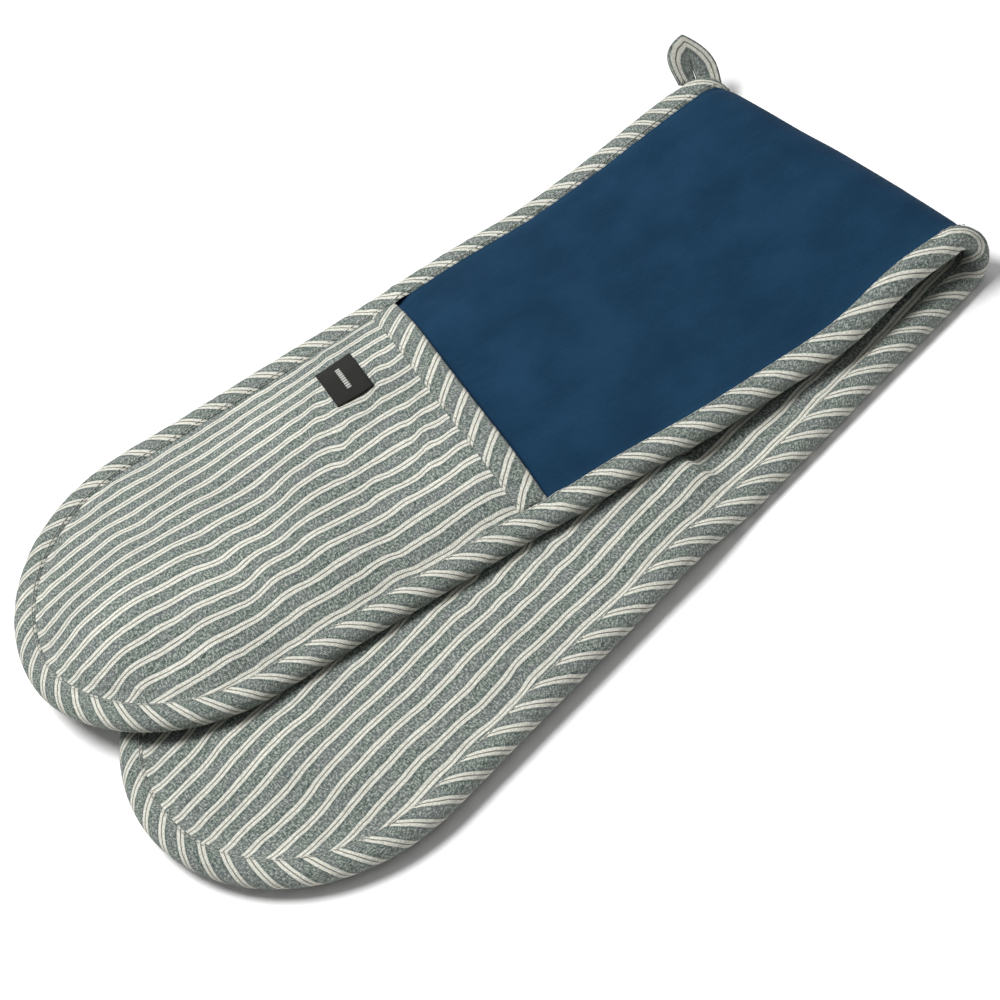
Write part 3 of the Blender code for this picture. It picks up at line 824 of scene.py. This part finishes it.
def rim_pieces():
    rows, points, length, width = rim_skin()
    count, m = points.shape[:2]
    half = m // 2
    ring = list(range(half)) + list(range(m - 1, half - 1, -1))
    flat_points = points.reshape(-1, 3)
    faces = []
    for k in range(m):
        a, b = ring[k], ring[(k + 1) % m]
        r = np.arange(count)
        nxt = (r + 1) % count
        faces.append(np.stack([r * m + a, nxt * m + a, nxt * m + b, r * m + b], 1))
    every = np.concatenate(faces)
    normals = vertex_normals(flat_points, every)
    centre = flat_points[every[0]].mean(0)
    inside = flat_points.reshape(count, m, 3)[0].mean(0)
    if np.dot(normals[every[0][0]], flat_points[every[0][0]] - inside) < 0:
        every = every[:, ::-1]
        normals = -normals
    uv = np.stack([(length - width).ravel(), (length + width).ravel()], 1) / math.sqrt(2) * MM
    wear = np.exp(-(((width.ravel() - width.max() / 2) / 3.2) ** 2))
    laid = uv[every]
    row_of = every // m
    closing = (row_of.max(1) - row_of.min(1) > 1)[:, None] & (row_of == 0)
    laid[closing] += PERIMETER / math.sqrt(2) * MM
    q = np.array([row[0] * (TIP_CENTRE if row[1] is not None else 1.0) for row in rows])
    edge = np.array([row[2] for row in rows])
    place = (q[every[:, 0] // m] + q[every[:, 2] // m]) / 2
    wrap = (every.max(1) // m - every.min(1) // m) > 1
    place[wrap] = -TIP_CENTRE
    side_of = edge[every[:, 0] // m]
    made = {}
    for part, where in PARTS.items():
        names = [(part + "_edge_binding", 0)]
        if part.startswith("fold"):
            names = [(part + "_binding_far", 1), (part + "_binding_near", -1)]
        for name, wanted in names:
            chosen = where(place)
            if wanted:
                chosen = chosen & (side_of == wanted)
            part_faces = every[chosen]
            rows_used = np.unique(part_faces // m)
            caps = []
            gaps = np.where(np.diff(rows_used) > 1)[0]
            if part == "lower":
                ends = [rows_used[gaps[0]], rows_used[gaps[0] + 1]] if len(gaps) else []
            else:
                ends = [rows_used[0], rows_used[-1]]
            for e in ends:
                for k in range(half - 1):
                    caps.append([e * m + k, e * m + k + 1, e * m + half + k + 1, e * m + half + k])
            caps = np.array(caps)
            used, idx = np.unique(np.concatenate([part_faces, caps]), return_inverse=True)
            obj = mesh_object(name, flat_points[used], idx.reshape(-1, 4),
                              np.concatenate([laid[chosen], uv[caps]]), BIAS, normals[used], wear[used])
            made.setdefault(part, []).append(obj)
    return made


BINDINGS = rim_pieces()
for part, objs in BINDINGS.items():
    for obj in objs:
        if part in ("lower", "upper"):
            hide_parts(part + "_edge_binding")
        else:
            end = "_binding_far" if obj.name.endswith("far") else "_binding_near"
            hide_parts(*[node + end for node in STANDS_FOR[part]])
        bend_with(obj)

# ---- stitches ----


def stitch_rows(centres, along, up, length, radius):
    """Short rounded stitches, each lying along its direction; 6 rings of 5 points."""
    side = np.cross(along, up)
    side /= np.maximum(np.linalg.norm(side, axis=1, keepdims=True), 1e-9)
    up = np.cross(side, along)
    points, faces = [], []
    stations = [(-0.5, 0.25, -0.75), (-0.42, 0.8, -0.25), (-0.2, 1.0, 0.1), (0.2, 1.0, 0.1),
                (0.42, 0.8, -0.25), (0.5, 0.25, -0.75)]
    sides = 5
    for place, size, lift in stations:
        for k in range(sides):
            a = 2 * math.pi * k / sides
            off = side * (math.cos(a) * size * radius) + up * ((math.sin(a) * size * 0.8 + lift) * radius)
            points.append(centres + along * (place * length) + off)
    points = np.stack(points, 1)
    n, m = points.shape[:2]
    base = (np.arange(n) * m)[:, None]
    local = []
    for j in range(len(stations) - 1):
        for k in range(sides):
            a, b = j * sides + k, j * sides + (k + 1) % sides
            local.append([a, a + sides, b + sides, b])
    last = (len(stations) - 1) * sides
    local += [[0, 1, 2, 2], [0, 2, 3, 3], [0, 3, 4, 4]]
    local += [[last, last + 2, last + 1, last + 1], [last, last + 3, last + 2, last + 2],
              [last, last + 4, last + 3, last + 3]]
    faces = (base[:, :, None] + np.array(local)[None]).reshape(-1, 4)
    uv = np.zeros((n * m, 2))
    uv[:, 0] = np.repeat(np.arange(n) * 0.4, m) + np.tile([s[0] * 2.6 for s in stations for _ in range(sides)], n)
    uv[:, 1] = np.tile([k * 0.35 for _ in stations for k in range(sides)], n)
    return points.reshape(-1, 3), faces, uv * MM


def stitches(name, place, count, material, length=2.5, radius=0.27):
    """Stitches centred on place(k); place returns points for an array of k, a face up or down."""
    k = np.arange(count) + 0.5
    centres = place(k, 0.0)
    along = place(k + 0.3, 0.0) - place(k - 0.3, 0.0)
    along /= np.linalg.norm(along, axis=1, keepdims=True)
    up = place(k, 1.0) - centres
    up /= np.linalg.norm(up, axis=1, keepdims=True)
    points, faces, uv = stitch_rows(centres, along, up, length * MM, radius * MM)
    return mesh_object(name, points, faces, uv, material)


def rim_at(p, d, side):
    """u and v at length p from the fold round one limb's rim, d in from it."""
    p = np.asarray(p, float)
    rho = RADIUS - d * leg(p + (PERIMETER / 2 if side < 0 else 0.0))
    turn = math.pi * RADIUS
    first = p <= TIP_CENTRE
    tip = (p > TIP_CENTRE) & (p <= TIP_CENTRE + turn)
    a = (p - TIP_CENTRE) / RADIUS
    q = np.where(first, p, 2 * TIP_CENTRE + turn - p)
    edge = np.where(first, -1.0, 1.0)
    u = row_u(q, edge * rho)
    v = edge * rho
    u = np.where(tip, TIP_CENTRE + rho * np.sin(a), u)
    v = np.where(tip, -rho * np.cos(a), v)
    return u * side, v * side


STITCH_D = 11.0


def rim_stitches(part, side, face):
    """Stitches on one face of one limb's binding, from the fold round the tip and back."""
    start = SEAM_Q + 0.2
    total = 2 * TIP_CENTRE + math.pi * RADIUS - 2 * start
    count = int(total / STITCH_PITCH)
    pitch = total / count

    def place(k, lift):
        u, v = rim_at(start + k * pitch, STITCH_D, side)
        n = rim_height(u, v, STITCH_D, face, 1.12) + face * (0.12 + lift)
        return fold(u, v, n)

    return stitches("%s_rim_stitches_%s" % (part, "front" if face > 0 else "back"), place, count, THREAD)


def fold_stitches(part, q0, q1):
    """The few stitches on both edges and both faces between two places in the fold."""
    made = []
    count = 3
    for edge in (1, -1):
        for face in (1, -1):
            def place(k, lift, edge=edge, face=face):
                v = edge * (RADIUS - STITCH_D * (0.91 if edge < 0 else 1.0))
                u = row_u(q0 + (q1 - q0) * k / count, v)
                n = rim_height(u, v, STITCH_D, face, 1.12) + face * (0.12 + lift)
                return fold(u, v + 0 * u, n)
            length = 2.3 if face > 0 else 1.6
            made.append(stitches(part, place, count, THREAD, length=length))
    return join(made, part + "_rim_stitches")


def join(objs, name):
    """Several mesh objects as one, sharing the first one's material."""
    points, faces, uvs, start = [], [], [], 0
    for obj in objs:
        mesh = obj.data
        n = len(mesh.vertices)
        co = np.zeros(n * 3, np.float32)
        mesh.vertices.foreach_get("co", co)
        points.append(co.reshape(-1, 3))
        uv = np.zeros((n, 2))
        for poly in mesh.polygons:
            idx = list(poly.vertices)
            row = idx if len(idx) == 4 else idx + [idx[-1]]
            faces.append([start + i for i in row])
            for loop, vert in zip(poly.loop_indices, idx):
                uv[vert] = mesh.uv_layers[0].data[loop].uv
        uvs.append(uv)
        start += n
    material = objs[0].data.materials[0]
    for obj in objs:
        bpy.data.objects.remove(obj)
    return mesh_object(name, np.concatenate(points), np.array(faces), np.concatenate(uvs), material)


for part, side in (("lower", -1), ("upper", 1)):
    for face in (1, -1):
        obj = rim_stitches(part, side, face)
        bend_with(obj)
for part, ends in (("fold_low", (-SEAM_Q, 0.0)), ("fold_high", (0.0, SEAM_Q))):
    obj = fold_stitches(part, *ends)
    bend_with(obj)

# ---- the bound mouths of the pockets ----

# Distance in from the mouth, and height off the pocket's cloth; then the leg inside the pocket.
MOUTH_TOP = [(12.8, 0.1), (12.4, 0.5), (11.2, 0.9), (8.8, 1.2), (5.8, 1.3), (3.0, 1.15), (1.0, 0.75),
             (-0.3, 0.0), (-0.95, -1.0)]
MOUTH_TOP_IN = [(12.7, 0.0), (11.6, 0.12), (10.2, 0.2), (8.2, 0.25), (5.8, 0.25), (3.4, 0.25), (1.6, 0.2),
                (0.2, -0.2), (-0.1, -1.0)]


def mouth_tape(limb, side):
    """Tape folded over the free edge of a pocket, between the edge bindings."""
    across = np.array(stepped((-(RADIUS - 11.2), RADIUS - 11.2, 2.0)))
    columns, widths = [], []
    for ring in (MOUTH_TOP, MOUTH_TOP_IN):
        mirrored = [(d, -lift, True) for d, lift in reversed(ring[:-1])]
        row = [(d, lift, False) for d, lift in ring] + mirrored
        at, last = 0.0, None
        for d, lift, under in row:
            if last is not None:
                at += math.hypot(d - last[0], lift - last[1])
            last = (d, lift)
            v = across
            u = side * (MOUTH + d + 0.0 * v)
            squeeze = smooth((RADIUS - np.abs(v) - 11.0) / 3.0)
            inner = side * np.maximum(np.abs(u), MOUTH + GAP)
            if under:
                n = lining_of(inner, v) + lift * 0.5 * squeeze - 0.05
            else:
                wobble = 0.12 * noise(v / 5.0, d / 6.0, 95) * smooth(lift)
                n = pocket_of(inner, v) + np.where(lift > 0, lift * (0.25 + 0.75 * squeeze), lift) + wobble
            columns.append(fold(u, v, n))
            widths.append(np.full(len(v), at))
    points = np.stack(columns, 1)
    width = np.stack(widths, 1)
    count, m = points.shape[:2]
    half = m // 2
    ring = list(range(half)) + list(range(m - 1, half - 1, -1))
    faces = []
    for k in range(m):
        a, b = ring[k], ring[(k + 1) % m]
        r = np.arange(count - 1)
        faces.append(np.stack([r * m + a, (r + 1) * m + a, (r + 1) * m + b, r * m + b], 1))
    for e in (0, count - 1):
        k = np.arange(half - 1)
        faces.append(np.stack([e * m + k, e * m + k + 1, e * m + half + k + 1, e * m + half + k], 1))
    v_all = np.repeat(across[:, None], m, 1)
    # The stripes run from the mouth's edge inwards and towards the near edge.
    inwards = width.max() / 2 - width
    uv = np.stack([(v_all - inwards).ravel(), (v_all + inwards).ravel()], 1) / math.sqrt(2) * MM
    wear = np.exp(-((inwards.ravel() / 2.6) ** 2))
    obj = mesh_object(limb + "_mouth_binding", points.reshape(-1, 3), np.concatenate(faces), uv, BIAS,
                      None, wear)
    tidy_normals(obj)
    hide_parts(limb + "_mouth_binding")
    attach(obj, limb + "_half")


def tidy_normals(obj):
    """Turns all faces outwards."""
    bm = bmesh.new()
    bm.from_mesh(obj.data)
    bmesh.ops.recalc_face_normals(bm, faces=bm.faces)
    bm.to_mesh(obj.data)
    bm.free()


def mouth_stitches(limb, side):
    length = 2 * (RADIUS - 14.0)
    count = int(length / STITCH_PITCH)

    def place(k, lift):
        v = -(RADIUS - 14.0) + length * k / count
        u = side * (MOUTH + 11.3) + 0 * v
        return fold(u, v, pocket_of(u, v) + 1.0 + lift)

    obj = stitches(limb + "_mouth_stitches", place, count, THREAD)
    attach(obj, limb + "_half")


for limb, side in (("lower", -1), ("upper", 1)):
    mouth_tape(limb, side)
    mouth_stitches(limb, side)

# ---- the label ----


def label():
    """A folded ribbon label on the upper pocket, a little thinner at its edges."""
    centre_u, centre_v, half_u, half_v = 253.7, 41.0, 9.7, 16.3
    a = np.linspace(-1, 1, 17)
    b = np.linspace(-1, 1, 25)
    x, y = np.meshgrid(a, b, indexing="ij")
    u = centre_u + x * half_u
    v = centre_v + y * half_v
    edge = np.maximum(np.abs(x) ** 8, np.abs(y) ** 8)
    sag = 0.12 * noise(u / 6.0, v / 7.0, 97)
    base = pocket_still(u, v) + 0.6 * pocket_wave(u, v) + 0.25
    base = np.maximum(base, pocket_of(u, v) + 0.12)
    low = fold(u, v, base)
    high = fold(u, v, base + 0.75 - 0.35 * edge + sag)
    n, m = x.shape
    r, c = np.meshgrid(np.arange(n - 1), np.arange(m - 1), indexing="ij")
    k = (r * m + c).ravel()
    bottom = np.stack([k, k + 1, k + m + 1, k + m], 1)
    total = n * m
    top = bottom[:, ::-1] + total
    rim = [i for i in range(m)] + [i * m + m - 1 for i in range(1, n)]
    rim += [(n - 1) * m + i for i in range(m - 2, -1, -1)] + [i * m for i in range(n - 2, 0, -1)]
    rim = np.array(rim)
    nxt = np.roll(rim, -1)
    walls = np.stack([rim, nxt, nxt + total, rim + total], 1)
    points = np.concatenate([low.reshape(-1, 3), high.reshape(-1, 3)])
    uv = np.stack([(x * half_u).ravel(), (y * half_v).ravel()], 1) * MM
    obj = mesh_object("upper_label", points, np.concatenate([bottom, top, walls]),
                      np.concatenate([uv, uv]), LABEL)
    tidy_normals(obj)
    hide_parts("upper_label")
    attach(obj, "upper_half")


label()

# ---- the hanging loop ----


def hanging_loop():
    """A folded tape that rises side by side with itself and turns over in a point."""
    joint = next(j for j in frame["joints"] if j["name"] == "loop_flop")
    base, along = Vector(joint["pos_m"]), -Vector(joint["axis"]).normalized()
    flat = Vector((SKEW_SIN, SKEW_COS, 0.0))
    tilt = math.radians(35.0)
    outward = flat * math.cos(tilt) + Vector((0, 0, 1)) * math.sin(tilt)
    outward = (outward - along * outward.dot(along)).normalized()
    normal = along.cross(outward)
    base = base - flat * 1.1 * MM
    steps, cross = 46, 11
    rows = []
    for k in range(steps + 1):
        w = k / steps
        a = math.pi * (w - 0.5)
        ring = []
        for j in range(cross):
            x = j / (cross - 1)
            half = 12.4 + (0.8 - 12.4) * x
            reach = 28.0 + (13.0 - 28.0) * x
            bulge = 1 + 0.35 * math.sin(2 * abs(a))
            along_x = math.copysign(abs(math.sin(a)) ** 1.6, a) * half * bulge
            out = reach * max(0.0, math.cos(a)) ** 0.8
            lean = -0.05 * out
            swell = 0.7 * math.sin(math.pi * (0.5 * x + 0.25)) ** 2
            ridge = 1.9 * x ** 1.4 * (1 - 0.35 * abs(math.cos(a)))
            ring.append((along_x + lean, out, 0.5 + swell - ridge * 0.8, -0.55 - ridge))
        rows.append(ring)
    points, uv = [], []
    for top in (True, False):
        for k, ring in enumerate(rows):
            for j, (x, y, up, down) in enumerate(ring):
                height = up if top else down
                p = base + (along * x + outward * y + normal * height) * MM
                points.append(tuple(p))
                uv.append((k / steps * 62.0, j / (cross - 1) * 9.0 + 2.5 + (0.0 if top else 11.0)))
    n = (steps + 1) * cross
    faces = []
    for k in range(steps):
        for j in range(cross - 1):
            a = k * cross + j
            faces.append([a, a + 1, a + cross + 1, a + cross])
            faces.append([n + a, n + a + cross, n + a + cross + 1, n + a + 1])
        for j in (0, cross - 1):
            a = k * cross + j
            faces.append([a, a + cross, n + a + cross, n + a])
    for k in (0, steps):
        for j in range(cross - 1):
            a = k * cross + j
            faces.append([a, a + 1, n + a + 1, n + a])
    obj = mesh_object("hanging_loop_tape", np.array(points), np.array(faces), np.array(uv) * MM, BIAS,
                      None, np.zeros(len(points)))
    tidy_normals(obj)
    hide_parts("hanging_loop")
    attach(obj, "loop")


hanging_loop()

# ---- floor, light and camera ----


def stage():
    mesh = bpy.data.meshes.new("floor")
    size = 3.0
    mesh.from_pydata([(-size, -size, 0), (size, -size, 0), (size, size, 0), (-size, size, 0)], [], [(0, 1, 2, 3)])
    floor = new_object("floor", mesh, None)
    paint = bpy.data.materials.new("floor_paper")
    paint.use_nodes = True
    shader = next(n for n in paint.node_tree.nodes if n.type == "BSDF_PRINCIPLED")
    shader.inputs["Base Color"].default_value = (0.97, 0.97, 0.97, 1)
    shader.inputs["Roughness"].default_value = 0.9
    shader.inputs["Specular IOR Level"].default_value = 0.1
    mesh.materials.append(paint)


def area_light(name, place, target, size, power):
    data = bpy.data.lights.new(name, "AREA")
    data.shape = "DISK"
    data.size = size
    data.energy = power
    obj = bpy.data.objects.new(name, data)
    bpy.context.scene.collection.objects.link(obj)
    obj.location = place
    obj.rotation_mode = "QUATERNION"
    obj.rotation_quaternion = (Vector(target) - Vector(place)).to_track_quat("-Z", "Y")


LENS = 91.269
CAMERA_DISTANCE = 1.12019


def camera():
    azimuth, elevation, roll = math.radians(-15.34), math.radians(48.04), math.radians(-26.71)
    target = Vector((-0.01243, -0.03011, 0.015))
    back = Vector((math.sin(azimuth) * math.cos(elevation), -math.cos(azimuth) * math.cos(elevation),
                   math.sin(elevation)))
    right = Vector((math.cos(azimuth), math.sin(azimuth), 0.0))
    up = back.cross(right)
    x = right * math.cos(roll) + up * math.sin(roll)
    y = -right * math.sin(roll) + up * math.cos(roll)
    data = bpy.data.cameras.new("camera")
    data.lens = LENS
    data.sensor_width = 36.0
    data.clip_start, data.clip_end = 0.05, 20.0
    cam = bpy.data.objects.new("camera", data)
    bpy.context.scene.collection.objects.link(cam)
    cam.matrix_world = Matrix((
        (x.x, y.x, back.x, target.x + back.x * CAMERA_DISTANCE),
        (x.y, y.y, back.y, target.y + back.y * CAMERA_DISTANCE),
        (x.z, y.z, back.z, target.z + back.z * CAMERA_DISTANCE),
        (0, 0, 0, 1),
    ))
    bpy.context.scene.camera = cam


stage()
area_light("key", (-0.35, 0.52, 1.6), (0, 0, 0), 0.85, 35.0)
area_light("fill", (0.7, -0.9, 1.5), (0, 0, 0), 1.2, 2.6)
area_light("rim", (0.6, 1.3, 1.1), (0, 0, 0), 1.0, 5.0)
world = bpy.data.worlds.new("studio")
bpy.context.scene.world = world
world.use_nodes = True
sky = next(n for n in world.node_tree.nodes if n.type == "BACKGROUND")
sky.inputs[0].default_value = (1.0, 1.0, 1.0, 1)
sky.inputs[1].default_value = 0.19
bpy.context.scene.view_settings.view_transform = "Standard"
camera()
